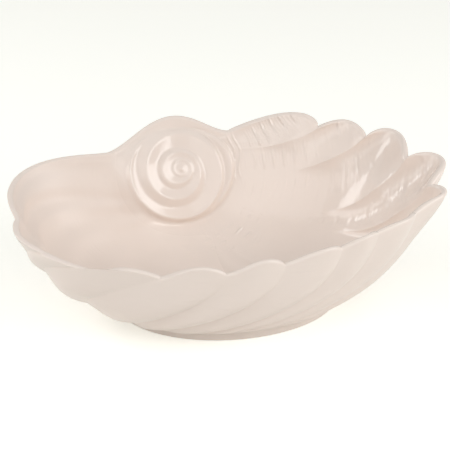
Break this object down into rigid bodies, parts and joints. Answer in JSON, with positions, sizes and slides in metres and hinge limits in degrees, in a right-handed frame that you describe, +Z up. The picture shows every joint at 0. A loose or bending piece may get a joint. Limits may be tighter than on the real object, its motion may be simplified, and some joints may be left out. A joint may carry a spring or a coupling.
{
  "type": "serving bowl",
  "caption": "Deep oval serving bowl shaped like a sea snail, with a scalloped fluted wall, ribbed inside, coiled boss at the back and an oval foot ring.",
  "frame": {"origin": "centre of the bowl's box in X and Y, at the underside of the foot ring", "axes": "+X along the length, towards the tall scallops on the side away from the boss; +Y towards the wall with the coiled boss; +Z up, out of the bowl"},
  "size_m": [0.3416, 0.2064, 0.1178],
  "materials": {
    "glaze": "glossy cream-white glaze"
  },
  "bodies": {
    "root": {"shell_bowl": "glaze"}
  },
  "joints": []
}
